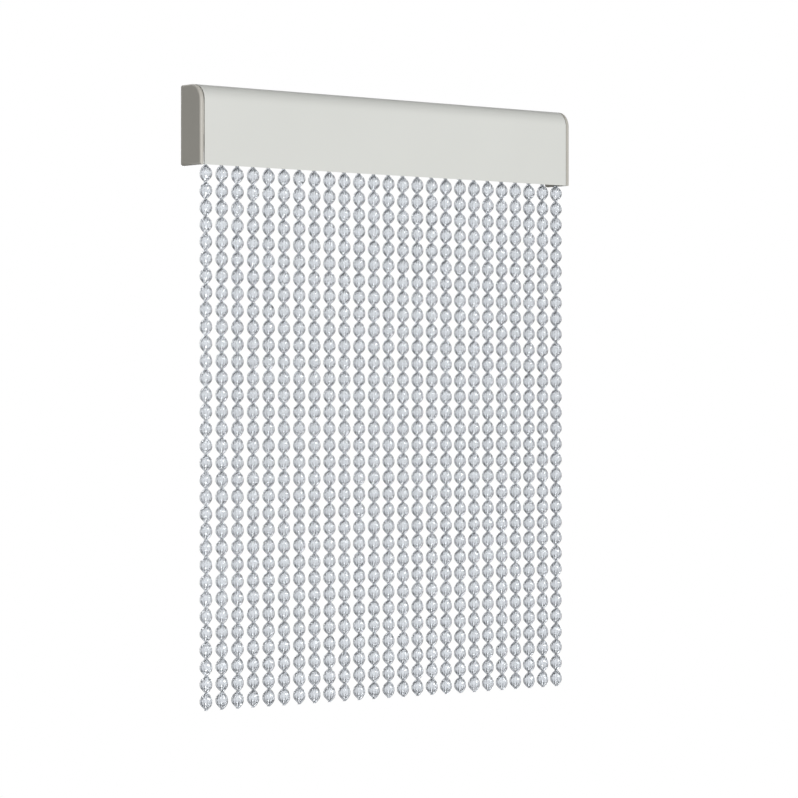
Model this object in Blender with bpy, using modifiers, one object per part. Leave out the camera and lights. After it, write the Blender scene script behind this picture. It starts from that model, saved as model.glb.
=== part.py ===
"""Spiral door curtain: a headrail with a rounded top, two end caps and 25 hanging ribbons of clear PVC.

Every ribbon is a flat band that is twisted along its whole drop, so it looks like a chain of 32 lens-shaped
lobes. Its flat root passes through a slot in the rail's shelf and is welded to a carrier strip that lies on
the shelf. The carrier is in two lengths, left and right.

The frame is in metres. X runs along the rail, the front faces -Y and Z is up. The origin is on the rail's
back face, at the middle of its length and height, where the rail lies against the wall.
"""

import math

import bmesh
import bpy
from mathutils import Matrix, Vector

# Headrail, an aluminium extrusion that is open below its front skirt.
RAIL_LENGTH = 0.900  # over both end caps
RAIL_DEPTH = 0.062
RAIL_HEIGHT = 0.146
RAIL_WALL = 0.002
FRONT_RADIUS = 0.030  # the large rounding between front and top
CORNER_RADIUS = 0.004  # the other corners of the rail and its caps
SHELF_ABOVE_EDGE = 0.028  # from the front skirt's lower edge to the shelf's underside
SLOT_WIDTH = 0.0075

# End caps, moulded plates with two tongues that push into the rail.
CAP_THICKNESS = 0.009
CAP_ROUNDING = 0.0035
TONGUE_LENGTH = 0.014
TONGUE_THICKNESS = 0.004
TONGUE_HEIGHT = 0.062
TONGUE_RISE = 0.012  # from the rail's middle height to the tongues' middle

# Keyholes in the back wall, which hang the rail on two wall screws.
KEYHOLE_OFFSET = 0.300  # to each side of the middle
KEYHOLE_HEAD_RADIUS = 0.0055
KEYHOLE_NECK_WIDTH = 0.0056
KEYHOLE_NECK_RISE = 0.014  # from the head's centre to the neck's round end
KEYHOLE_HEIGHT = 0.010

# Twisted ribbons.
STRAND_COUNT = 25
STRAND_SPACING = 0.0356
STRAND_BEHIND_FRONT = 0.0146
LOBE_COUNT = 32
LOBE_PITCH = 0.0307  # one lobe is half a turn
RIBBON_WIDTH = 0.0224
RIBBON_THICKNESS = 0.0052
RIBBON_LEAN = 0.0018  # how far each middle corner stands to its side of the ribbon's centre
SLICES_PER_LOBE = 2
NODE_TURN = math.radians(50)  # the ribbon's turn from +X where it leaves the rail's lower edge
ROOT_TURN = math.pi  # the flat root lies along X again

# Carrier strips, which the roots are welded to.
STRIP_DEPTH = 0.016
STRIP_HEIGHT = 0.005
STRIPS_APART = 0.001
STRIP_TO_CAP = 0.001
LEFT_STRANDS = 13

GAP = 0.0003  # between pieces that touch
ARC_STEPS = 10  # straight steps in a large quarter round
SMALL_ARC_STEPS = 4
DRAWING_SCALE = 1000.0
SHARP_ANGLE = math.radians(40)

# Places that follow from the sizes.
RAIL_FRONT = -RAIL_DEPTH
RAIL_TOP = RAIL_HEIGHT / 2
RAIL_BOTTOM = -RAIL_HEIGHT / 2
SHELF_UNDERSIDE = RAIL_BOTTOM + SHELF_ABOVE_EDGE
SHELF_TOP = SHELF_UNDERSIDE + RAIL_WALL
STRAND_Y = RAIL_FRONT + STRAND_BEHIND_FRONT
CAP_INNER_X = RAIL_LENGTH / 2 - CAP_THICKNESS
TURN_PER_METRE = math.pi / LOBE_PITCH
TWIST_START = RAIL_BOTTOM + (ROOT_TURN - NODE_TURN) / TURN_PER_METRE
STRIP_BOTTOM = SHELF_TOP + GAP
ROOT_TOP = STRIP_BOTTOM + STRIP_HEIGHT / 2
STRAND_BOTTOM = RAIL_BOTTOM - LOBE_COUNT * LOBE_PITCH

# Turns a flat outline's own X, Y and Z into the frame's Y, Z and X.
ALONG_RAIL = Matrix(((0, 0, 1, 0), (1, 0, 0, 0), (0, 1, 0, 0), (0, 0, 0, 1)))
# Turns a flat outline's own X, Y and Z into the frame's X, Z and -Y.
ALONG_DEPTH = Matrix(((1, 0, 0, 0), (0, 0, -1, 0), (0, 1, 0, 0), (0, 0, 0, 1)))


def material(name, colour, roughness, metallic=0.0, transmission=0.0):
    made = bpy.data.materials.new(name)
    made.use_nodes = True
    shader = made.node_tree.nodes["Principled BSDF"]
    shader.inputs["Base Color"].default_value = (*colour, 1.0)
    shader.inputs["Roughness"].default_value = roughness
    shader.inputs["Metallic"].default_value = metallic
    shader.inputs["Transmission Weight"].default_value = transmission
    made.diffuse_color = (*colour, 1.0)
    return made


def link(obj, collection, its_material=None):
    collection.objects.link(obj)
    if its_material is not None:
        obj.data.materials.append(its_material)
    return obj


def smooth(mesh):
    """Shades round stretches smooth and keeps the true edges sharp."""
    mesh.shade_smooth()
    mesh.set_sharp_from_angle(angle=SHARP_ANGLE)


def helper(obj):
    """Marks a cutter or another operand, which isn't part of the curtain."""
    obj.hide_render = True
    obj.display_type = "WIRE"
    return obj


def arc(centre, radius, start_deg, end_deg, steps):
    """Points of an arc about centre, both ends included."""
    points = []
    for step in range(steps + 1):
        angle = math.radians(start_deg + (end_deg - start_deg) * step / steps)
        points.append((centre[0] + radius * math.cos(angle), centre[1] + radius * math.sin(angle)))
    return points


def prism(name, outline, thickness, placing):
    """A mesh object: the flat outline as a filled 2D curve, extruded to both sides of its plane and welded.

    The curve is drawn 1000 times as large, because the fill of a very small outline can leave out a thin
    triangle, and the mesh is scaled back."""
    curve = bpy.data.curves.new(name + "_outline", "CURVE")
    curve.dimensions = "2D"
    curve.fill_mode = "BOTH"
    curve.extrude = thickness / 2 * DRAWING_SCALE
    spline = curve.splines.new("POLY")
    spline.points.add(len(outline) - 1)
    for point, (x, y) in zip(spline.points, outline):
        point.co = (x * DRAWING_SCALE, y * DRAWING_SCALE, 0.0, 1.0)
    spline.use_cyclic_u = True
    drawn = bpy.data.objects.new(name + "_outline", curve)
    bpy.context.scene.collection.objects.link(drawn)
    graph = bpy.context.evaluated_depsgraph_get()
    mesh = bpy.data.meshes.new_from_object(drawn.evaluated_get(graph))
    bpy.data.objects.remove(drawn)
    bm = bmesh.new()
    bm.from_mesh(mesh)
    bmesh.ops.transform(bm, matrix=placing @ Matrix.Scale(1 / DRAWING_SCALE, 4), verts=bm.verts)
    bmesh.ops.remove_doubles(bm, verts=bm.verts, dist=1e-6)
    bmesh.ops.recalc_face_normals(bm, faces=bm.faces)
    bm.to_mesh(mesh)
    bm.free()
    smooth(mesh)
    mesh.name = name
    return bpy.data.objects.new(name, mesh)


def block(name, low, high):
    """A mesh object: a box between two corners."""
    mesh = bpy.data.meshes.new(name)
    bm = bmesh.new()
    bmesh.ops.create_cube(bm, size=1.0)
    size = Vector(high) - Vector(low)
    bmesh.ops.scale(bm, vec=size, verts=bm.verts)
    bmesh.ops.translate(bm, vec=(Vector(low) + Vector(high)) / 2, verts=bm.verts)
    bm.to_mesh(mesh)
    bm.free()
    return bpy.data.objects.new(name, mesh)


def boolean(obj, operation, operand):
    """Adds an exact Boolean with an object or, for many operands, a collection."""
    modifier = obj.modifiers.new(operand.name, "BOOLEAN")
    modifier.operation = operation
    if isinstance(operand, bpy.types.Collection):
        modifier.operand_type = "COLLECTION"
        modifier.collection = operand
    else:
        modifier.object = operand
    return modifier


def rail_outline():
    """The extrusion's section as (y, z): front skirt, rounded top, back wall and the slotted shelf."""
    inner_front = RAIL_FRONT + RAIL_WALL
    inner_back = -RAIL_WALL
    inner_top = RAIL_TOP - RAIL_WALL
    slot_front = STRAND_Y - SLOT_WIDTH / 2
    slot_back = STRAND_Y + SLOT_WIDTH / 2
    front_centre = (RAIL_FRONT + FRONT_RADIUS, RAIL_TOP - FRONT_RADIUS)
    back_centre = (-CORNER_RADIUS, RAIL_TOP - CORNER_RADIUS)
    points = [(RAIL_FRONT, RAIL_BOTTOM)]
    points += arc(front_centre, FRONT_RADIUS, 180, 90, ARC_STEPS)
    points += arc(back_centre, CORNER_RADIUS, 90, 0, SMALL_ARC_STEPS)
    points += [(0.0, SHELF_UNDERSIDE), (slot_back, SHELF_UNDERSIDE), (slot_back, SHELF_TOP)]
    points += [(inner_back, SHELF_TOP), (inner_back, inner_top)]
    points += arc(front_centre, FRONT_RADIUS - RAIL_WALL, 90, 180, ARC_STEPS)
    points += [(inner_front, SHELF_TOP), (slot_front, SHELF_TOP), (slot_front, SHELF_UNDERSIDE)]
    points += [(inner_front, SHELF_UNDERSIDE), (inner_front, RAIL_BOTTOM)]
    return points


def cap_outline():
    """The cap's plate as (y, z), which has the rail's outer shape and reaches the skirt's lower edge."""
    front_centre = (RAIL_FRONT + FRONT_RADIUS, RAIL_TOP - FRONT_RADIUS)
    points = arc(front_centre, FRONT_RADIUS, 180, 90, ARC_STEPS)
    points += arc((-CORNER_RADIUS, RAIL_TOP - CORNER_RADIUS), CORNER_RADIUS, 90, 0, SMALL_ARC_STEPS)
    points += arc((-CORNER_RADIUS, RAIL_BOTTOM + CORNER_RADIUS), CORNER_RADIUS, 0, -90, SMALL_ARC_STEPS)
    points += [(RAIL_FRONT, RAIL_BOTTOM)]
    return points


def keyhole_outline(x):
    """A round head hole with a narrow neck above it, as (x, z)."""
    half_neck = KEYHOLE_NECK_WIDTH / 2
    meets_at = math.degrees(math.acos(half_neck / KEYHOLE_HEAD_RADIUS))
    head = arc((x, KEYHOLE_HEIGHT), KEYHOLE_HEAD_RADIUS, 180 - meets_at, 360 + meets_at, 2 * ARC_STEPS)
    neck = arc((x, KEYHOLE_HEIGHT + KEYHOLE_NECK_RISE), half_neck, 0, 180, 2 * SMALL_ARC_STEPS)
    return head + neck


def add_headrail(parts, cutters, paint):
    rail_length = 2 * (CAP_INNER_X - GAP)
    rail = link(prism("headrail", rail_outline(), rail_length, ALONG_RAIL), parts, paint)
    for side, x in (("left", -KEYHOLE_OFFSET), ("right", KEYHOLE_OFFSET)):
        cutter = prism("keyhole_" + side, keyhole_outline(x), 6 * RAIL_WALL, ALONG_DEPTH)
        boolean(rail, "DIFFERENCE", link(helper(cutter), cutters))


def rounded_plate(name, side):
    """A cap's plate, with the rim of its outer face rounded. side is -1 for left and 1 for right."""
    plate = prism(name, cap_outline(), CAP_THICKNESS, ALONG_RAIL)
    middle_x = side * (CAP_INNER_X + CAP_THICKNESS / 2)
    outer_x = side * RAIL_LENGTH / 2
    bm = bmesh.new()
    bm.from_mesh(plate.data)
    bmesh.ops.translate(bm, vec=(middle_x, 0, 0), verts=bm.verts)
    bmesh.ops.dissolve_limit(bm, angle_limit=math.radians(1), verts=bm.verts, edges=bm.edges)
    rim = [e for e in bm.edges if all(abs(v.co.x - outer_x) < 1e-6 for v in e.verts)]
    bmesh.ops.bevel(bm, geom=rim, offset=CAP_ROUNDING, segments=3, profile=0.5, affect="EDGES")
    bm.to_mesh(plate.data)
    bm.free()
    smooth(plate.data)
    return plate


def add_end_cap(parts, operands, plastic, side_name, side):
    """A plate with a tongue behind the front wall and one before the back wall."""
    cap = link(rounded_plate("end_cap_" + side_name, side), parts, plastic)
    reach = side * (CAP_INNER_X - TONGUE_LENGTH)
    into_plate = side * (CAP_INNER_X + CAP_THICKNESS / 2)
    low_x, high_x = sorted((reach, into_plate))
    low_z = TONGUE_RISE - TONGUE_HEIGHT / 2
    high_z = TONGUE_RISE + TONGUE_HEIGHT / 2
    wall = RAIL_WALL + GAP
    spans = {
        "front": (RAIL_FRONT + wall, RAIL_FRONT + wall + TONGUE_THICKNESS),
        "back": (-wall - TONGUE_THICKNESS, -wall),
    }
    for place, (low_y, high_y) in spans.items():
        tongue = block(f"tongue_{side_name}_{place}", (low_x, low_y, low_z), (high_x, high_y, high_z))
        boolean(cap, "UNION", link(helper(tongue), operands))


def slice_heights():
    """Heights where the bar is cut across: the twist's start, half-way to the rail's edge, and each slice."""
    heights = [TWIST_START, (TWIST_START + RAIL_BOTTOM) / 2]
    slice_height = LOBE_PITCH / SLICES_PER_LOBE
    heights += [RAIL_BOTTOM - k * slice_height for k in range(LOBE_COUNT * SLICES_PER_LOBE)]
    return heights


def lens_bar():
    """A straight bar with a flat four-sided section, thick in the middle, cut across at every slice height.

    Each side face is split from its outer corner below to its middle corner above, front and back alike, and
    the two middle corners lean to opposite sides, so the twisted ribbon stays thick at its axis."""
    bm = bmesh.new()
    depth = ROOT_TOP - STRAND_BOTTOM
    bmesh.ops.create_cone(
        bm,
        cap_ends=True,
        cap_tris=False,
        segments=4,
        radius1=RIBBON_WIDTH / 2,
        radius2=RIBBON_WIDTH / 2,
        depth=depth,
    )
    flatten = Matrix.Diagonal((1.0, RIBBON_THICKNESS / RIBBON_WIDTH, 1.0, 1.0))
    flatten[0][1] = 2 * RIBBON_LEAN / RIBBON_WIDTH
    bmesh.ops.transform(bm, matrix=flatten, verts=bm.verts)
    bmesh.ops.translate(bm, vec=(0, 0, (ROOT_TOP + STRAND_BOTTOM) / 2), verts=bm.verts)
    for height in slice_heights():
        everything = bm.verts[:] + bm.edges[:] + bm.faces[:]
        bmesh.ops.bisect_plane(bm, geom=everything, plane_co=(0, 0, height), plane_no=(0, 0, 1))
    sides = [f for f in bm.faces if abs(f.normal.z) < 0.5]
    for face in sides:
        outer = max(face.verts, key=lambda v: abs(v.co.x) - v.co.z)
        middle = min(face.verts, key=lambda v: abs(v.co.x) - v.co.z)
        bmesh.utils.face_split(face, outer, middle)
    # The twist turns about the origin's height, so the bar's own zero is at the twist's start.
    bmesh.ops.translate(bm, vec=(0, 0, -TWIST_START), verts=bm.verts)
    mesh = bpy.data.meshes.new("lens_bar")
    bm.to_mesh(mesh)
    bm.free()
    return mesh


def twisted_ribbon():
    """The bar's mesh after the twist: flat above the twist's start, and a right-handed spiral below it."""
    bar = bpy.data.objects.new("ribbon_bar", lens_bar())
    bpy.context.scene.collection.objects.link(bar)
    twist = bar.modifiers.new("twist", "SIMPLE_DEFORM")
    twist.deform_method = "TWIST"
    twist.deform_axis = "Z"
    drop = TWIST_START - STRAND_BOTTOM
    twist.angle = drop * TURN_PER_METRE
    twist.limits = (0.0, drop / (ROOT_TOP - STRAND_BOTTOM))
    graph = bpy.context.evaluated_depsgraph_get()
    mesh = bpy.data.meshes.new_from_object(bar.evaluated_get(graph))
    mesh.name = "twisted_ribbon"
    bpy.data.objects.remove(bar)
    return mesh


def add_strands(parts, ribbon, pvc, side_name, first, last, low_x, high_x):
    """A carrier strip from low_x to high_x with the ribbons first to last welded to its underside."""
    low = (low_x, STRAND_Y - STRIP_DEPTH / 2, STRIP_BOTTOM)
    high = (high_x, STRAND_Y + STRIP_DEPTH / 2, STRIP_BOTTOM + STRIP_HEIGHT)
    strip = link(block("strands_" + side_name, low, high), parts, pvc)
    hanging = bpy.data.collections.new("ribbons_" + side_name)
    bpy.context.scene.collection.children.link(hanging)
    for index in range(first, last):
        strand = bpy.data.objects.new(f"ribbon_{index + 1:02d}", ribbon)
        strand.location = (strand_x(index), STRAND_Y, TWIST_START)
        link(helper(strand), hanging)
    boolean(strip, "UNION", hanging)


def strand_x(index):
    return (index - (STRAND_COUNT - 1) / 2) * STRAND_SPACING


def build():
    for obj in list(bpy.data.objects):
        bpy.data.objects.remove(obj)
    parts = bpy.data.collections.new("spiral_door_curtain")
    cutters = bpy.data.collections.new("cutters")
    for collection in (parts, cutters):
        bpy.context.scene.collection.children.link(collection)

    paint = material("rail_paint", (0.708, 0.716, 0.680), 0.35)
    plastic = material("cap_plastic", (0.45, 0.43, 0.39), 0.50)
    pvc = material("clear_pvc", (0.78, 0.81, 0.85), 0.12, transmission=0.9)

    add_headrail(parts, cutters, paint)
    add_end_cap(parts, cutters, plastic, "left", -1)
    add_end_cap(parts, cutters, plastic, "right", 1)

    ribbon = twisted_ribbon()
    strip_end = CAP_INNER_X - STRIP_TO_CAP
    split = (strand_x(LEFT_STRANDS - 1) + strand_x(LEFT_STRANDS)) / 2
    left_end = split - STRIPS_APART / 2
    right_start = split + STRIPS_APART / 2
    add_strands(parts, ribbon, pvc, "left", 0, LEFT_STRANDS, -strip_end, left_end)
    add_strands(parts, ribbon, pvc, "right", LEFT_STRANDS, STRAND_COUNT, right_start, strip_end)


build()
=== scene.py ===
# %% [markdown]
# # A spiral door curtain
# This lesson dresses a door curtain made of twisted clear PVC ribbons that hang from a headrail. The plain
# solids of the curtain are loaded first, and every visible piece is then modelled again in fine detail, in
# the same place and at the same size. Lengths are written in millimetres and turned to metres by MM.

# %% Load the solids
import math
import random

import bmesh
import bpy
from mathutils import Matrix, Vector


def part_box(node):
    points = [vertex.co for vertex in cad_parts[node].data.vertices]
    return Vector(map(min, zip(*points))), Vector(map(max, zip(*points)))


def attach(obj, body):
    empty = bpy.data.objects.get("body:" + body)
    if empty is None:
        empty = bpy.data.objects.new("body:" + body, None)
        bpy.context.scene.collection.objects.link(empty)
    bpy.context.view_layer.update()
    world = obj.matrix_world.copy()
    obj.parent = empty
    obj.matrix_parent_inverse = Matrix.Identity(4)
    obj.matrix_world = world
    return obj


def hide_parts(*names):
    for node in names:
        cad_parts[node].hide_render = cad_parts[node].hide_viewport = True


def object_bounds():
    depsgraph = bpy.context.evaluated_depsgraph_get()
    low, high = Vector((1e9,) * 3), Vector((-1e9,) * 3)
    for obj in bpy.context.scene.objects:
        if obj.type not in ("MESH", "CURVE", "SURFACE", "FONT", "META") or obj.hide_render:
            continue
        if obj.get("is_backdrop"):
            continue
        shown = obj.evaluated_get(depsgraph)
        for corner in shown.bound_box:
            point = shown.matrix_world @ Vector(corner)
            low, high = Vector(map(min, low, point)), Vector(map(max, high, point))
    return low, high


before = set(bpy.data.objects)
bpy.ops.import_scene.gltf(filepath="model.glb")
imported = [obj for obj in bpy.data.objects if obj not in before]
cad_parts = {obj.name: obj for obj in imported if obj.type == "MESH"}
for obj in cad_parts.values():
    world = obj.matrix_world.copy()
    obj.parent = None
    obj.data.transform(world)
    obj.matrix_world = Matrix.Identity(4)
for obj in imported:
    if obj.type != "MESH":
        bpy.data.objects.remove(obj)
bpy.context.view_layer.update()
MM = 0.001
print("nodes:", sorted(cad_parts))

# %% [markdown]
# ## Small helpers
# An operator acts on whatever is selected, so each step first deselects everything and then picks faces,
# edges or points by where they are. A finished piece keeps its place in its mesh, with its object at the
# origin, so the helpers apply each object's location, rotation and scale at once.

# %% Helpers for picking and placing
ITEMS = {"VERT": "verts", "EDGE": "edges", "FACE": "faces"}
NEAR = 0.01 * MM


def object_mode():
    if bpy.context.mode != "OBJECT":
        bpy.ops.object.mode_set(mode="OBJECT")


def make_active(piece):
    object_mode()
    bpy.ops.object.select_all(action="DESELECT")
    piece.select_set(True)
    bpy.context.view_layer.objects.active = piece


def pick(piece, kind, wanted):
    """Opens the piece in edit mode with just the wanted faces, edges or points selected."""
    make_active(piece)
    bpy.ops.object.mode_set(mode="EDIT")
    bpy.ops.mesh.select_mode(type=kind)
    bpy.ops.mesh.select_all(action="DESELECT")
    shape = bmesh.from_edit_mesh(piece.data)
    found = [item for item in getattr(shape, ITEMS[kind]) if wanted(item)]
    for item in found:
        item.select_set(True)
    bmesh.update_edit_mesh(piece.data)
    return len(found)


def place_in_mesh(piece, name):
    make_active(piece)
    bpy.ops.object.transform_apply(location=True, rotation=True, scale=True)
    piece.name = name
    piece.data.name = name
    return piece


def add_box(name, low, high):
    """A cube primitive, stretched between two corners."""
    object_mode()
    bpy.ops.object.select_all(action="DESELECT")
    low = Vector(low)
    high = Vector(high)
    bpy.ops.mesh.primitive_cube_add(size=1.0, location=(low + high) / 2)
    piece = bpy.context.object
    piece.scale = high - low
    return place_in_mesh(piece, name)


def apply_modifier(piece, kind, name, **settings):
    """Adds one modifier with its settings and applies it."""
    make_active(piece)
    modifier = piece.modifiers.new(name, kind)
    for key, value in settings.items():
        setattr(modifier, key, value)
    bpy.ops.object.modifier_apply(modifier=modifier.name)


def shade_with_flat_faces(piece):
    """Smooth shading over small angles, with the large flat faces kept flat beside their bevels."""
    make_active(piece)
    bpy.ops.object.shade_smooth_by_angle(angle=math.radians(35))
    apply_modifier(piece, "WEIGHTED_NORMAL", "flat faces", mode="FACE_AREA", weight=50, keep_sharp=True)


def cut_across(piece, point, normal):
    """Cuts the whole piece along a plane and keeps both sides."""
    pick(piece, "FACE", lambda face: True)
    bpy.ops.mesh.bisect(plane_co=point, plane_no=normal)


def is_at(value, place):
    return abs(value - place) < NEAR


def triangles(piece):
    return sum(len(face.vertices) - 2 for face in piece.data.polygons)


# %% [markdown]
# ## Sizes of the real thing
# The rail's and the caps' sizes are read from the solids, so the fine pieces can't drift from them. What the
# solids only hint at is named here: the wall of the extrusion, its shelf and slot, and the section of the
# ribbon, which has a thick rim along both edges, a thin web and two fine ribs.

# %% Sizes
rail_low, rail_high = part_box("headrail")
cap_left_low, cap_left_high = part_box("end_cap_left")
cap_right_low, cap_right_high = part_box("end_cap_right")
strip_left_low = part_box("strands_left")[0]
strip_right_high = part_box("strands_right")[1]
FRONT_ROUNDING = 30 * MM
BACK_ROUNDING = 4 * MM
RAIL_WALL = 2 * MM
SHELF_UNDERSIDE = rail_low.z + 28 * MM
SHELF_TOP = SHELF_UNDERSIDE + RAIL_WALL
RIBBON_BEHIND_FRONT = 14.6 * MM
RIBBON_Y = rail_low.y + RIBBON_BEHIND_FRONT
SLOT_WIDTH = 7.5 * MM
CAP_THICKNESS = 9 * MM

RIBBON_COUNT = 25
RIBBON_SPACING = 35.6 * MM
RIBBONS_ON_LEFT = 13
LOBE = 30.7 * MM
LOBES = 32
RIBBON_WIDTH = 22.4 * MM
WEB = 1.6 * MM
RIM_WIDTH = 3.1 * MM
RIM_THICKNESS = 5.2 * MM
RIB_OFFSET = 3.0 * MM
RIB_WIDTH = 1.2 * MM
RIB_HEIGHT = 0.6 * MM
SLICES_PER_LOBE = 7
ribbon_bottom = rail_low.z - LOBES * LOBE
print("rail in mm:", [round(v / MM, 1) for v in rail_high - rail_low])
print("ribbons end at mm:", round(ribbon_bottom / MM, 1))

# %% [markdown]
# ## The headrail
# The real rail is an aluminium extrusion: one section all along, sawn to length. So it is drawn here as its
# section and then pulled along X. The section starts as a plane of the outer size. Its two top corners are
# rounded, an inset gives the wall, bisects mark the shelf and its slot, and the faces that are hollow in the
# real section are deleted. A box with a Solidify would be quicker, but it couldn't have the shelf inside.

# %% Draw the rail's section and extrude it
object_mode()
bpy.ops.object.select_all(action="DESELECT")
section_centre = Vector((rail_low.x, (rail_low.y + rail_high.y) / 2, (rail_low.z + rail_high.z) / 2))
bpy.ops.mesh.primitive_plane_add(size=1.0, location=section_centre, rotation=(0, math.radians(90), 0))
rail = bpy.context.object
rail.scale = (rail_high.z - rail_low.z, rail_high.y - rail_low.y, 1.0)
place_in_mesh(rail, "headrail_extrusion")
pick(rail, "VERT", lambda v: v.co.z > 0 and is_at(v.co.y, rail_low.y))
bpy.ops.mesh.bevel(offset=FRONT_ROUNDING, segments=24, profile=0.5, affect="VERTICES")
pick(rail, "VERT", lambda v: is_at(v.co.z, rail_high.z) and is_at(v.co.y, rail_high.y))
bpy.ops.mesh.bevel(offset=BACK_ROUNDING, segments=6, profile=0.5, affect="VERTICES")
pick(rail, "FACE", lambda face: True)
bpy.ops.mesh.inset(thickness=RAIL_WALL, depth=0.0)
for height in (SHELF_UNDERSIDE, SHELF_TOP):
    cut_across(rail, (0, 0, height), (0, 0, 1))
for depth in (RIBBON_Y - SLOT_WIDTH / 2, RIBBON_Y + SLOT_WIDTH / 2):
    cut_across(rail, (0, depth, 0), (0, 1, 0))


def is_hollow(face):
    """Tells the faces of the section where the real extrusion has no metal."""
    centre = face.calc_center_median()
    if centre.y < rail_low.y + RAIL_WALL:
        return False
    if SHELF_UNDERSIDE < centre.z < SHELF_TOP:
        return abs(centre.y - RIBBON_Y) < SLOT_WIDTH / 2
    if centre.z < SHELF_UNDERSIDE:
        return True
    in_back_wall = centre.y > rail_high.y - RAIL_WALL
    in_top_wall = centre.z > rail_high.z - RAIL_WALL
    in_rounding = centre.z > rail_high.z - FRONT_ROUNDING and face.calc_area() < 20 * MM * MM
    return not (in_back_wall or in_top_wall or in_rounding)


pick(rail, "FACE", is_hollow)
bpy.ops.mesh.delete(type="FACE")
pick(rail, "FACE", lambda face: True)
rail_length = rail_high.x - rail_low.x
bpy.ops.mesh.extrude_region_move(TRANSFORM_OT_translate={"value": (rail_length, 0, 0)})
bpy.ops.mesh.select_all(action="SELECT")
bpy.ops.mesh.dissolve_limited(angle_limit=math.radians(0.5))
bpy.ops.mesh.normals_make_consistent(inside=False)
object_mode()
print("rail section extruded:", triangles(rail), "triangles")

# %% [markdown]
# ## Keyholes and soft edges of the rail
# Two keyholes in the back wall hang the rail on wall screws. Each is a round hole for the screw's head with a
# narrow neck above it, cut with exact Booleans. Sawn and tumbled edges are never knife sharp, so a small
# Bevel follows, which also catches the light as a thin line.

# %% Cut the keyholes and bevel the edges
KEYHOLE_X = 300 * MM
KEYHOLE_Z = 10 * MM
KEYHOLE_RADIUS = 5.5 * MM
NECK_WIDTH = 5.6 * MM
NECK_RISE = 14 * MM
for x in (-KEYHOLE_X, KEYHOLE_X):
    for radius, height in ((KEYHOLE_RADIUS, KEYHOLE_Z), (NECK_WIDTH / 2, KEYHOLE_Z + NECK_RISE)):
        object_mode()
        bpy.ops.object.select_all(action="DESELECT")
        bpy.ops.mesh.primitive_cylinder_add(
            vertices=32,
            radius=radius,
            depth=6 * RAIL_WALL,
            location=(x, 0, height),
            rotation=(math.radians(90), 0, 0),
        )
        cutter = bpy.context.object
        apply_modifier(rail, "BOOLEAN", "hole", operation="DIFFERENCE", solver="EXACT", object=cutter)
        bpy.data.objects.remove(cutter)
    low = (x - NECK_WIDTH / 2, -3 * RAIL_WALL, KEYHOLE_Z)
    high = (x + NECK_WIDTH / 2, 3 * RAIL_WALL, KEYHOLE_Z + NECK_RISE)
    cutter = add_box("neck_cutter", low, high)
    apply_modifier(rail, "BOOLEAN", "neck", operation="DIFFERENCE", solver="EXACT", object=cutter)
    bpy.data.objects.remove(cutter)
apply_modifier(
    rail, "BEVEL", "soft edges", width=0.5 * MM, segments=2, limit_method="ANGLE", angle_limit=math.radians(50)
)
shade_with_flat_faces(rail)
print("rail finished:", triangles(rail), "triangles")

# %% [markdown]
# ## The end caps
# Each cap is an injection moulding: a plate with the rail's outer outline and two tongues that push into the
# rail. The plate is a plane with rounded corners, extruded to its thickness, and the rim of its outer face gets
# a large bevel. Its inner face is inset and extruded to the rail's end, so a narrow groove runs round the
# joint. Such a shadow gap hides that two parts never meet quite flush, and it shows as a fine dark line. It is
# wider on the left, because the caps are pushed on by hand and that one isn't driven fully home.

# %% Model the two end caps
CAP_RIM_ROUNDING = 3.8 * MM
JOINT_GAP_LEFT = 1.8 * MM
JOINT_GAP_RIGHT = 0.5 * MM
JOINT_DEPTH = 2.5 * MM
TONGUE_THICKNESS = 4 * MM
TONGUE_HEIGHT = 62 * MM
TONGUE_MIDDLE = 12 * MM
CLEARANCE = 0.3 * MM


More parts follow.
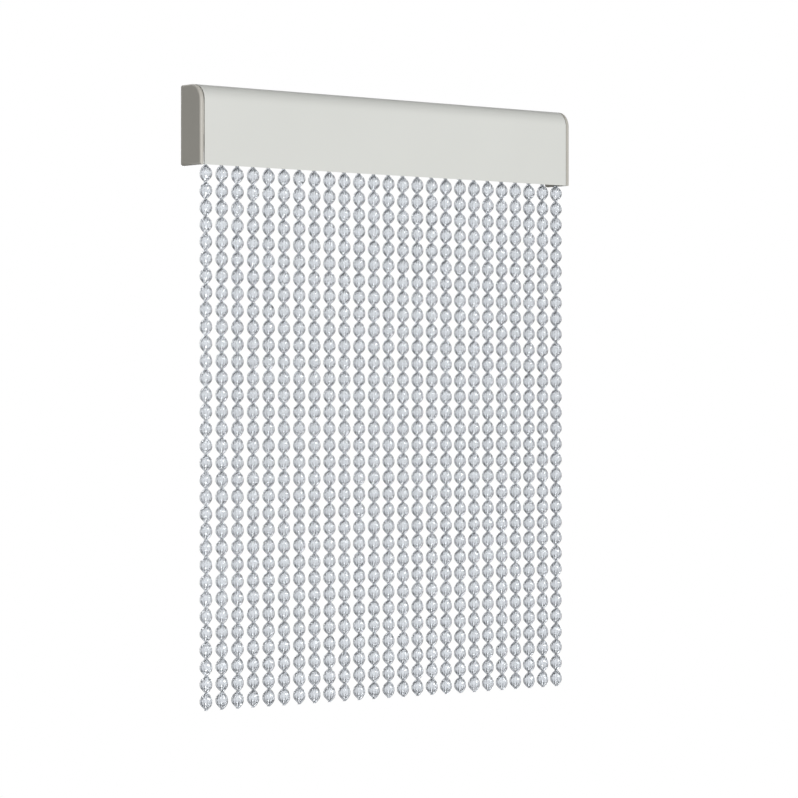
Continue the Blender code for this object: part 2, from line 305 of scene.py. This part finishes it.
def add_cap(name, low, high, side, joint_gap):
    """A cap between two corners. side is -1 on the left and 1 on the right."""
    inner_x = high.x - CAP_THICKNESS if side > 0 else low.x + CAP_THICKNESS
    outer_x = high.x if side > 0 else low.x
    object_mode()
    bpy.ops.object.select_all(action="DESELECT")
    plate_x = inner_x + side * joint_gap
    centre = (plate_x, (low.y + high.y) / 2, (low.z + high.z) / 2)
    bpy.ops.mesh.primitive_plane_add(size=1.0, location=centre, rotation=(0, math.radians(90), 0))
    cap = bpy.context.object
    cap.scale = (high.z - low.z, high.y - low.y, 1.0)
    place_in_mesh(cap, name)
    pick(cap, "VERT", lambda v: v.co.z > 0 and is_at(v.co.y, low.y))
    bpy.ops.mesh.bevel(offset=FRONT_ROUNDING, segments=24, profile=0.5, affect="VERTICES")
    pick(cap, "VERT", lambda v: is_at(v.co.y, high.y))
    bpy.ops.mesh.bevel(offset=BACK_ROUNDING, segments=6, profile=0.5, affect="VERTICES")
    pick(cap, "FACE", lambda face: True)
    bpy.ops.mesh.extrude_region_move(TRANSFORM_OT_translate={"value": (outer_x - plate_x, 0, 0)})
    bpy.ops.mesh.select_all(action="SELECT")
    bpy.ops.mesh.normals_make_consistent(inside=False)
    pick(cap, "EDGE", lambda e: all(is_at(v.co.x, outer_x) for v in e.verts))
    bpy.ops.mesh.bevel(offset=CAP_RIM_ROUNDING, segments=6, profile=0.5, affect="EDGES")
    pick(cap, "EDGE", lambda e: all(is_at(v.co.x, plate_x) for v in e.verts))
    bpy.ops.mesh.bevel(offset=0.2 * MM, segments=2, profile=0.5, affect="EDGES")
    pick(cap, "FACE", lambda f: all(is_at(v.co.x, plate_x) for v in f.verts))
    bpy.ops.mesh.inset(thickness=JOINT_DEPTH, depth=0.0)
    bpy.ops.mesh.extrude_region_move(TRANSFORM_OT_translate={"value": (inner_x - plate_x, 0, 0)})
    reach = low.x if side > 0 else high.x
    into_plate = inner_x + side * CAP_THICKNESS / 2
    wall = RAIL_WALL + CLEARANCE
    for span in ((low.y + wall, low.y + wall + TONGUE_THICKNESS), (high.y - wall - TONGUE_THICKNESS, high.y - wall)):
        corner = (min(reach, into_plate), span[0], TONGUE_MIDDLE - TONGUE_HEIGHT / 2)
        opposite = (max(reach, into_plate), span[1], TONGUE_MIDDLE + TONGUE_HEIGHT / 2)
        tongue = add_box("tongue", corner, opposite)
        pick(tongue, "EDGE", lambda e: all(is_at(v.co.x, reach) for v in e.verts))
        bpy.ops.mesh.bevel(offset=0.8 * MM, segments=2, affect="EDGES")
        apply_modifier(cap, "BOOLEAN", "tongue", operation="UNION", solver="EXACT", object=tongue)
        bpy.data.objects.remove(tongue)
    shade_with_flat_faces(cap)
    return cap


cap_left = add_cap("end_cap_left_moulding", cap_left_low, cap_left_high, -1, JOINT_GAP_LEFT)
cap_right = add_cap("end_cap_right_moulding", cap_right_low, cap_right_high, 1, JOINT_GAP_RIGHT)
print("caps:", triangles(cap_left), triangles(cap_right), "triangles")

# %% [markdown]
# ## One lobe of straight ribbon
# The real ribbon is extruded flat, with a thick rim along both edges and fine ribs on the web, and is then
# twisted while it is warm. It is made the same way here. A cube is one lobe of straight ribbon. Bisects
# mark rims and ribs, extrusions raise them on both faces, and bevels round them.

# %% Model one straight lobe
half_width = RIBBON_WIDTH / 2
ribbon = add_box("ribbon", (-half_width, -WEB / 2, 0), (half_width, WEB / 2, LOBE))
pick(ribbon, "FACE", lambda face: abs(face.normal.z) > 0.5)
bpy.ops.mesh.delete(type="ONLY_FACE")
rim_edge = half_width - RIM_WIDTH
for x in (rim_edge, RIB_OFFSET + RIB_WIDTH / 2, RIB_OFFSET - RIB_WIDTH / 2):
    for side in (-1, 1):
        cut_across(ribbon, (side * x, 0, 0), (1, 0, 0))


def raise_faces(wanted, height):
    """Extrudes the wanted stretches of both faces of the ribbon outwards."""
    for side in (-1, 1):
        pick(ribbon, "FACE", lambda face: face.normal.y * side > 0.5 and wanted(abs(face.calc_center_median().x)))
        bpy.ops.mesh.extrude_region_move(TRANSFORM_OT_translate={"value": (0, side * height, 0)})


raise_faces(lambda x: x > rim_edge, (RIM_THICKNESS - WEB) / 2)
raise_faces(lambda x: abs(x - RIB_OFFSET) < RIB_WIDTH / 2, RIB_HEIGHT)


def along_z(edge):
    start, end = edge.verts
    return abs(start.co.z - end.co.z) > LOBE / 2


def at_rim_top(edge, x):
    return along_z(edge) and is_at(abs(edge.verts[0].co.x), x) and abs(edge.verts[0].co.y) > WEB


pick(ribbon, "EDGE", lambda e: at_rim_top(e, half_width))
bpy.ops.mesh.bevel(offset=0.6 * MM, segments=3, profile=0.5, affect="EDGES")
pick(ribbon, "EDGE", lambda e: at_rim_top(e, rim_edge))
bpy.ops.mesh.bevel(offset=0.4 * MM, segments=2, affect="EDGES")
pick(ribbon, "EDGE", along_z)
bpy.ops.mesh.subdivide(number_cuts=SLICES_PER_LOBE - 1)
object_mode()
print("one straight lobe:", triangles(ribbon), "triangles")

# %% [markdown]
# ## The whole ribbon, twisted
# An Array repeats the lobe down the whole drop, and a bisect trims it where the root is welded to its
# carrier. A UV map is written while the ribbon is still straight: U runs across it and V along it, in
# millimetres, so that a material can follow the surface after the twist. Simple Deform then twists
# everything below the rail's shelf and leaves the root flat, and half a turn makes one lobe.

# %% Repeat, trim, map and twist
NODE_TURN = math.radians(50)
CARRIER_DEPTH = 16 * MM
CARRIER_HEIGHT = 5 * MM
carrier_bottom = SHELF_TOP + CLEARANCE
root_top = carrier_bottom + CARRIER_HEIGHT / 2
turn_per_metre = math.pi / LOBE
twist_start = rail_low.z + (math.pi - NODE_TURN) / turn_per_metre
lobes_with_root = math.ceil((root_top - ribbon_bottom) / LOBE)
apply_modifier(
    ribbon,
    "ARRAY",
    "lobes",
    count=lobes_with_root,
    use_relative_offset=False,
    use_constant_offset=True,
    constant_offset_displace=(0, 0, LOBE),
    use_merge_vertices=True,
    merge_threshold=0.001 * MM,
)
ribbon.location.z = ribbon_bottom - twist_start
place_in_mesh(ribbon, "ribbon")
pick(ribbon, "FACE", lambda face: True)
bpy.ops.mesh.bisect(plane_co=(0, 0, root_top - twist_start), plane_no=(0, 0, 1), clear_outer=True, use_fill=True)
pick(ribbon, "EDGE", lambda e: all(is_at(v.co.z, ribbon_bottom - twist_start) for v in e.verts))
bpy.ops.mesh.edge_face_add()
bpy.ops.mesh.select_all(action="SELECT")
bpy.ops.mesh.normals_make_consistent(inside=False)
object_mode()
uv_map = ribbon.data.uv_layers.new(name="across_and_along")
for loop in ribbon.data.loops:
    place = ribbon.data.vertices[loop.vertex_index].co
    uv_map.data[loop.index].uv = (place.x / MM, place.z / MM)
drop = twist_start - ribbon_bottom
apply_modifier(
    ribbon,
    "SIMPLE_DEFORM",
    "twist",
    deform_method="TWIST",
    deform_axis="Z",
    angle=drop * turn_per_metre,
    limits=(0.0, drop / (root_top - ribbon_bottom)),
)
make_active(ribbon)
bpy.ops.object.shade_smooth_by_angle(angle=math.radians(50))
print("one ribbon:", triangles(ribbon), "triangles")

# %% [markdown]
# ## Hang the ribbons
# The twisted ribbon is modelled once and copied, each copy with its own mesh. All ribbons come off the same
# tool, so their lobes line up in rows, but each is hung by hand, so it gets a turn of a degree or two of its
# own. A fixed seed keeps the picture the same each time.

# %% Copy the ribbon along the slot
HAND_TURN = math.radians(2.5)
dice = random.Random(7)
ribbons = []
for index in range(RIBBON_COUNT):
    hung = ribbon.copy()
    hung.data = ribbon.data.copy()
    bpy.context.scene.collection.objects.link(hung)
    x = (index - (RIBBON_COUNT - 1) / 2) * RIBBON_SPACING
    hung.location = (x, RIBBON_Y, twist_start)
    hung.rotation_euler.z = dice.uniform(-HAND_TURN, HAND_TURN)
    ribbons.append(place_in_mesh(hung, f"ribbon_{index + 1:02d}"))
bpy.data.objects.remove(ribbon)
print("ribbons:", len(ribbons), "with", sum(triangles(r) for r in ribbons), "triangles in all")

# %% [markdown]
# ## The carrier strips
# The ribbons' roots are welded into two strips of milky PVC that slide into the rail from its ends and lie on
# the shelf. Little of them is seen, only their undersides through the slot. Each is a box with a small bevel
# and a groove along its top, made by an inset and an extrusion downwards.

# %% Model the carrier strips
CARRIERS_APART = 1 * MM
split_x = (RIBBONS_ON_LEFT - RIBBON_COUNT / 2) * RIBBON_SPACING


def add_carrier(name, low_x, high_x):
    low = (low_x, RIBBON_Y - CARRIER_DEPTH / 2, carrier_bottom)
    high = (high_x, RIBBON_Y + CARRIER_DEPTH / 2, carrier_bottom + CARRIER_HEIGHT)
    strip = add_box(name, low, high)
    pick(strip, "FACE", lambda face: face.normal.z > 0.5)
    bpy.ops.mesh.inset(thickness=4 * MM, depth=0.0)
    bpy.ops.mesh.extrude_region_move(TRANSFORM_OT_translate={"value": (0, 0, -1.5 * MM)})
    apply_modifier(
        strip, "BEVEL", "soft edges", width=0.5 * MM, segments=2, limit_method="ANGLE", angle_limit=math.radians(40)
    )
    shade_with_flat_faces(strip)
    return strip


carrier_left = add_carrier("carrier_left", strip_left_low.x, split_x - CARRIERS_APART / 2)
carrier_right = add_carrier("carrier_right", split_x + CARRIERS_APART / 2, strip_right_high.x)
print("carriers:", triangles(carrier_left), triangles(carrier_right), "triangles")

# %% [markdown]
# ## Colours and nodes
# Colours are written as sRGB hex values, as a paint card gives them, and one function turns them to the
# linear values that the shader works with. Another small function adds a node with its settings and links.

# %% Helpers for materials


def linear(hex_colour):
    """Turns an sRGB hex value, such as #C0C0C0, into a linear colour with alpha."""
    channels = []
    for start in (1, 3, 5):
        value = int(hex_colour[start : start + 2], 16) / 255
        channels.append(value / 12.92 if value <= 0.04045 else ((value + 0.055) / 1.055) ** 2.4)
    return (*channels, 1.0)


def add_node(tree, kind, inputs=None, **settings):
    """Adds one node. Each input is a plain value or the output socket that feeds it."""
    node = tree.nodes.new(kind)
    for key, value in settings.items():
        setattr(node, key, value)
    for socket, value in (inputs or {}).items():
        if isinstance(value, bpy.types.NodeSocket):
            tree.links.new(value, node.inputs[socket])
        else:
            node.inputs[socket].default_value = value
    return node


def new_material(name):
    material = bpy.data.materials.new(name)
    material.use_nodes = True
    material.node_tree.nodes.clear()
    return material, material.node_tree


def per_metre(size_in_mm):
    """The noise scale whose grains are about this size."""
    return 1000.0 / size_in_mm


print("light grey in linear values:", [round(v, 3) for v in linear("#DBDCD7")])

# %% [markdown]
# ## Powder-coated aluminium
# The rail is baked powder paint in a light, slightly warm grey. Powder melts into a smooth but faintly
# rippled skin, called orange peel, with ripples of one to two millimetres. Its gloss is satin. Broad, weak
# changes of tone keep the long flat front from looking like a plain fill.

# %% Paint of the rail
powder, tree = new_material("powder_coated_aluminium")
where = add_node(tree, "ShaderNodeTexCoord")
tone = add_node(tree, "ShaderNodeTexNoise", {"Vector": where.outputs["Object"], "Scale": per_metre(180), "Detail": 3.0})
colour = add_node(
    tree,
    "ShaderNodeMix",
    {"Factor": tone.outputs["Fac"], "A": linear("#D9DAD5"), "B": linear("#DEDFDA")},
    data_type="RGBA",
)
peel = add_node(tree, "ShaderNodeTexNoise", {"Vector": where.outputs["Object"], "Scale": per_metre(1.6), "Detail": 2.0})
sheen_spots = add_node(
    tree, "ShaderNodeTexNoise", {"Vector": where.outputs["Object"], "Scale": per_metre(12), "Detail": 4.0}
)
gloss = add_node(
    tree, "ShaderNodeMapRange", {"Value": sheen_spots.outputs["Fac"], "To Min": 0.34, "To Max": 0.44}
)
relief = add_node(
    tree, "ShaderNodeBump", {"Height": peel.outputs["Fac"], "Strength": 0.25, "Distance": 0.1 * MM}
)
shader = add_node(
    tree,
    "ShaderNodeBsdfPrincipled",
    {
        "Base Color": colour.outputs["Result"],
        "Roughness": gloss.outputs["Result"],
        "Normal": relief.outputs["Normal"],
        "IOR": 1.5,
    },
)
add_node(tree, "ShaderNodeOutputMaterial", {"Surface": shader.outputs["BSDF"]})
rail.data.materials.append(powder)
print("made", powder.name)

# %% [markdown]
# ## Moulded ABS
# The end caps are ABS plastic from a spark-eroded mould, which leaves an even, fine grain of about half a
# millimetre and a soft sheen. The plastic is a little darker and warmer than the paint beside it.

# %% Plastic of the end caps
abs_plastic, tree = new_material("moulded_abs")
where = add_node(tree, "ShaderNodeTexCoord")
tone = add_node(tree, "ShaderNodeTexNoise", {"Vector": where.outputs["Object"], "Scale": per_metre(25), "Detail": 3.0})
colour = add_node(
    tree,
    "ShaderNodeMix",
    {"Factor": tone.outputs["Fac"], "A": linear("#BAB7AE"), "B": linear("#BEBBB2")},
    data_type="RGBA",
)
grain = add_node(tree, "ShaderNodeTexNoise", {"Vector": where.outputs["Object"], "Scale": per_metre(0.5), "Detail": 1.0})
gloss = add_node(tree, "ShaderNodeMapRange", {"Value": grain.outputs["Fac"], "To Min": 0.45, "To Max": 0.6})
relief = add_node(
    tree, "ShaderNodeBump", {"Height": grain.outputs["Fac"], "Strength": 0.3, "Distance": 0.05 * MM}
)
shader = add_node(
    tree,
    "ShaderNodeBsdfPrincipled",
    {
        "Base Color": colour.outputs["Result"],
        "Roughness": gloss.outputs["Result"],
        "Normal": relief.outputs["Normal"],
        "IOR": 1.53,
    },
)
add_node(tree, "ShaderNodeOutputMaterial", {"Surface": shader.outputs["BSDF"]})
for cap in (cap_left, cap_right):
    cap.data.materials.append(abs_plastic)
print("made", abs_plastic.name)

# %% [markdown]
# ## Clear extruded PVC
# The ribbons are clear, faintly blue-grey PVC. The die leaves hair lines along the ribbon, and the twist
# leaves soft waves of about five millimetres, so light passing through breaks up and glints. The lines read
# the UV map, in millimetres across and along the ribbon, and so they turn with it. Real hair lines are a few
# hundredths of a millimetre apart. These are drawn 1.5 mm apart, because finer ones wouldn't show.

# %% Plastic of the ribbons
clear_pvc, tree = new_material("clear_extruded_pvc")
where = add_node(tree, "ShaderNodeTexCoord")
line_stretch = add_node(
    tree, "ShaderNodeMapping", {"Vector": where.outputs["UV"], "Scale": (1 / 1.5, 1 / 60, 1.0)}
)
die_lines = add_node(
    tree, "ShaderNodeTexNoise", {"Vector": line_stretch.outputs["Vector"], "Scale": 1.0, "Detail": 2.0}
)
waves = add_node(tree, "ShaderNodeTexNoise", {"Vector": where.outputs["Object"], "Scale": per_metre(5), "Detail": 1.0})
tint = add_node(
    tree,
    "ShaderNodeMix",
    {"Factor": waves.outputs["Fac"], "A": linear("#E6EAEE"), "B": linear("#F2F5F8")},
    data_type="RGBA",
)
gloss = add_node(tree, "ShaderNodeMapRange", {"Value": die_lines.outputs["Fac"], "To Min": 0.03, "To Max": 0.08})
wave_relief = add_node(
    tree, "ShaderNodeBump", {"Height": waves.outputs["Fac"], "Strength": 0.6, "Distance": 1.2 * MM}
)
relief = add_node(
    tree,
    "ShaderNodeBump",
    {
        "Height": die_lines.outputs["Fac"],
        "Strength": 0.8,
        "Distance": 0.4 * MM,
        "Normal": wave_relief.outputs["Normal"],
    },
)
shader = add_node(
    tree,
    "ShaderNodeBsdfPrincipled",
    {
        "Base Color": tint.outputs["Result"],
        "Roughness": gloss.outputs["Result"],
        "Normal": relief.outputs["Normal"],
        "IOR": 1.54,
        "Transmission Weight": 0.9,
    },
)
add_node(tree, "ShaderNodeOutputMaterial", {"Surface": shader.outputs["BSDF"]})
for hung in ribbons:
    hung.data.materials.append(clear_pvc)
print("made", clear_pvc.name)

# %% [markdown]
# ## Milky PVC of the carriers
# The carrier strips are rigid white PVC, cloudy and slightly glossy, with the same fine lines of a die.

# %% Plastic of the carrier strips
milky_pvc, tree = new_material("milky_rigid_pvc")
where = add_node(tree, "ShaderNodeTexCoord")
line_stretch = add_node(
    tree,
    "ShaderNodeMapping",
    {"Vector": where.outputs["Object"], "Scale": (per_metre(80), per_metre(0.8), per_metre(0.8))},
)
lines = add_node(tree, "ShaderNodeTexNoise", {"Vector": line_stretch.outputs["Vector"], "Scale": 1.0, "Detail": 2.0})
colour = add_node(
    tree,
    "ShaderNodeMix",
    {"Factor": lines.outputs["Fac"], "A": linear("#DADCDE"), "B": linear("#E8EAEB")},
    data_type="RGBA",
)
relief = add_node(
    tree, "ShaderNodeBump", {"Height": lines.outputs["Fac"], "Strength": 0.3, "Distance": 0.05 * MM}
)
shader = add_node(
    tree,
    "ShaderNodeBsdfPrincipled",
    {"Base Color": colour.outputs["Result"], "Roughness": 0.35, "Normal": relief.outputs["Normal"], "IOR": 1.54},
)
add_node(tree, "ShaderNodeOutputMaterial", {"Surface": shader.outputs["BSDF"]})
for strip in (carrier_left, carrier_right):
    strip.data.materials.append(milky_pvc)
print("made", milky_pvc.name)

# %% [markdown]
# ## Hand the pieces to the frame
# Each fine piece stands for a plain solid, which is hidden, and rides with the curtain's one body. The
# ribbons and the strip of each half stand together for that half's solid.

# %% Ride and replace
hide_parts("headrail")
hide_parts("end_cap_left")
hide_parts("end_cap_right")
for index, hung in enumerate(ribbons):
    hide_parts("strands_left" if index < RIBBONS_ON_LEFT else "strands_right")
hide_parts("strands_left")
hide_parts("strands_right")
for piece in (rail, cap_left, cap_right, carrier_left, carrier_right, *ribbons):
    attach(piece, "root")
print("pieces:", 5 + len(ribbons))

# %% [markdown]
# ## The floor
# The photograph is a catalogue picture on pure white, with no floor in it. The curtain hangs in the air over
# a round, pale table top, which lies just below what the camera sees.

# %% Floor
FLOOR_BELOW_RIBBONS = 340 * MM
FLOOR_RADIUS = 800 * MM
object_mode()
bpy.ops.object.select_all(action="DESELECT")
bpy.ops.mesh.primitive_cylinder_add(
    vertices=128, radius=FLOOR_RADIUS, depth=20 * MM, location=(0, 0, ribbon_bottom - FLOOR_BELOW_RIBBONS - 10 * MM)
)
floor = place_in_mesh(bpy.context.object, "studio_floor")
pick(floor, "EDGE", lambda e: all(v.co.z > ribbon_bottom - FLOOR_BELOW_RIBBONS - MM for v in e.verts))
bpy.ops.mesh.bevel(offset=5 * MM, segments=3, affect="EDGES")
object_mode()
table_top, tree = new_material("white_table_top")
where = add_node(tree, "ShaderNodeTexCoord")
tone = add_node(tree, "ShaderNodeTexNoise", {"Vector": where.outputs["Object"], "Scale": per_metre(400)})
colour = add_node(
    tree,
    "ShaderNodeMix",
    {"Factor": tone.outputs["Fac"], "A": linear("#F4F4F4"), "B": linear("#F8F8F8")},
    data_type="RGBA",
)
shader = add_node(tree, "ShaderNodeBsdfPrincipled", {"Base Color": colour.outputs["Result"], "Roughness": 0.8})
add_node(tree, "ShaderNodeOutputMaterial", {"Surface": shader.outputs["BSDF"]})
floor.data.materials.append(table_top)
floor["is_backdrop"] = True

# %% [markdown]
# ## The camera
# The camera stands to the front left of the curtain and level with its middle. A long lens from far away
# keeps the ribbons nearly parallel. A level camera keeps them upright too, and a small lens shift moves the
# picture up a little, as a shift lens does.

# %% Camera
CAMERA_TURN = math.radians(39.82)
CAMERA_PLACE = Vector((-4014.4, -4893.1, -521.4)) * MM
object_mode()
bpy.ops.object.select_all(action="DESELECT")
bpy.ops.object.camera_add(location=CAMERA_PLACE, rotation=(math.radians(90), 0, -CAMERA_TURN))
camera = bpy.context.object
camera.name = "photo_camera"
camera.data.sensor_width = 36
camera.data.lens = 150.71
camera.data.shift_y = 0.01879
bpy.context.scene.camera = camera
print("camera stands at", [round(v, 2) for v in camera.location])

# %% [markdown]
# ## Panels of light
# Clear plastic shows nothing but what stands around it, so the studio matters as much as the plastic. The
# world is white where the camera looks straight at it. All other light meets a nearly dark room with soft
# panels. Three stand behind the curtain, a bright one straight behind, one lower and one higher. They glow
# through the middle of each lobe, and the dark around them draws the grey rims. The fourth, in front, lights
# the view from behind. A panel's place is given as steps to the camera's right, away from the camera and up,
# then where its edge begins and where it is fully bright.

# %% World
TO_RIGHT = Vector((math.cos(CAMERA_TURN), -math.sin(CAMERA_TURN), 0))
TO_BACK = Vector((math.sin(CAMERA_TURN), math.cos(CAMERA_TURN), 0))
UP = Vector((0, 0, 1))


def seen_direction(steps):
    """The direction with these steps to the camera's right, away from the camera and up."""
    return (steps[0] * TO_RIGHT + steps[1] * TO_BACK + steps[2] * UP).normalized()


PANELS = (
    ((0, 1, 0), 0.96, 0.99, 0.78),
    ((0, 1, -0.35), 0.93, 0.985, 0.23),
    ((0, 1, 0.35), 0.93, 0.985, 0.22),
    ((0, -1, 0), 0.85, 0.97, 0.6),
)
ROOM_GLOW = 0.05
world = bpy.data.worlds.new("studio")
bpy.context.scene.world = world
world.use_nodes = True
tree = world.node_tree
tree.nodes.clear()
looking = add_node(tree, "ShaderNodeTexCoord").outputs["Generated"]
glow = ROOM_GLOW
for steps, rim, core, strength in PANELS:
    panel_middle = seen_direction(steps)
    nearness = add_node(
        tree, "ShaderNodeVectorMath", {0: looking, 1: panel_middle[:]}, operation="DOT_PRODUCT"
    )
    panel = add_node(
        tree,
        "ShaderNodeMapRange",
        {"Value": nearness.outputs["Value"], "From Min": rim, "From Max": core, "To Max": strength},
        interpolation_type="SMOOTHSTEP",
    )
    glow = add_node(tree, "ShaderNodeMath", {0: glow, 1: panel.outputs["Result"]}, operation="ADD").outputs["Value"]
room = add_node(tree, "ShaderNodeBackground", {"Color": linear("#FBFCFF"), "Strength": glow})
backdrop = add_node(tree, "ShaderNodeBackground", {"Color": (1.0, 1.0, 1.0, 1.0), "Strength": 1.0})
ray = add_node(tree, "ShaderNodeLightPath")
mixed = add_node(
    tree,
    "ShaderNodeMixShader",
    {0: ray.outputs["Is Camera Ray"], 1: room.outputs["Background"], 2: backdrop.outputs["Background"]},
)
add_node(tree, "ShaderNodeOutputWorld", {"Surface": mixed.outputs["Shader"]})
bpy.context.scene.view_settings.view_transform = "Standard"
bpy.context.scene.view_settings.look = "None"
print("panels of light:", len(PANELS))

# %% [markdown]
# ## Lamps for the ribbons
# Three softboxes light the ribbons: two on the left make the milky body of the plastic show, and one high on
# the right gives the sparkle on each lobe's right half. They stand six metres away, so that the left ribbons
# get no more light than the right ones. In a studio, flags would keep them off the rail. Here light linking
# does the same.

# %% Ribbon lamps
LAMP_AWAY = 6.0
RIBBON_LAMPS = (
    ("left_wing_softbox", (-0.85, 0.5, 0), 4.2, 224),
    ("left_front_softbox", (-0.85, -0.5, 0), 3.0, 270),
    ("high_right_softbox", (0.6, -0.5, 0.6), 3.0, 370),
)


def light_only(lamp, name, pieces):
    """Keeps a lamp's light on these pieces, as flags do in a studio."""
    group = bpy.data.collections.new(name)
    for piece in pieces:
        group.objects.link(piece)
    lamp.light_linking.receiver_collection = group


curtain_middle = Vector((0, RIBBON_Y, -550 * MM))
for name, steps, size, power in RIBBON_LAMPS:
    object_mode()
    bpy.ops.object.select_all(action="DESELECT")
    toward = seen_direction(steps)
    turned = toward.to_track_quat("Z", "Y").to_euler()
    bpy.ops.object.light_add(type="AREA", location=curtain_middle + LAMP_AWAY * toward, rotation=turned)
    lamp = bpy.context.object
    lamp.name = name
    lamp.data.size = size
    lamp.data.energy = power
    light_only(lamp, f"lit_by_{name}", (*ribbons, carrier_left, carrier_right))
print("ribbon lamps:", len(RIBBON_LAMPS))

# %% [markdown]
# ## Lamps for the rail
# The rail is lit straight from the front at its own height, so that its long face is brightest and the rounded
# top falls off to grey. One light from above and behind keeps the top edge from going black, and one from
# behind shows the back wall and its keyholes. A weaker light from the left lifts the side of the left cap. It
# is kept off the rail, whose top would mirror it as glare to someone at the right end. All four are far away
# and light the rail evenly from end to end.

# %% Rail lamps
rail_and_caps = (rail, cap_left, cap_right)
RAIL_LAMPS = (
    ("rail_front_light", Vector((0, -1, 0)), math.radians(20), 2.74, rail_and_caps),
    ("cap_side_light", Vector((-1, 0, 0)), math.radians(20), 0.98, (cap_left, cap_right)),
    ("rail_top_light", Vector((0, 0.6, 0.8)), math.radians(40), 1.2, rail_and_caps),
    ("rail_back_light", Vector((0.35, 0.93, -0.1)), math.radians(30), 2.0, rail_and_caps),
)
for name, toward, blur, strength, lit in RAIL_LAMPS:
    object_mode()
    bpy.ops.object.select_all(action="DESELECT")
    bpy.ops.object.light_add(type="SUN", location=toward * 3, rotation=toward.to_track_quat("Z", "Y").to_euler())
    lamp = bpy.context.object
    lamp.name = name
    lamp.data.angle = blur
    lamp.data.energy = strength
    light_only(lamp, f"lit_by_{name}", lit)
print("rail lamps:", len(RAIL_LAMPS))

# %% [markdown]
# ## Lamps for the floor
# The pale floor gets its own even light from above and below, which doesn't touch the curtain. Only the camera
# sees the floor, so it throws no light back on the ribbons and they look as they do over open white.

# %% Floor lamps
for name, turn in (("floor_light", 0), ("floor_light_below", math.pi)):
    object_mode()
    bpy.ops.object.select_all(action="DESELECT")
    bpy.ops.object.light_add(type="SUN", location=(0, 0, 2), rotation=(turn, 0, 0))
    lamp = bpy.context.object
    lamp.name = name
    lamp.data.angle = math.radians(60)
    lamp.data.energy = 2.6
    light_only(lamp, f"lit_by_{name}", (floor,))
floor.visible_diffuse = False
floor.visible_glossy = False
floor.visible_transmission = False
print("the floor's lamps light the floor alone")

# %% Size of the visible pieces, and finish
low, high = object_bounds()
print("visual in mm:", [round(v / MM, 1) for v in (*low, *high)])
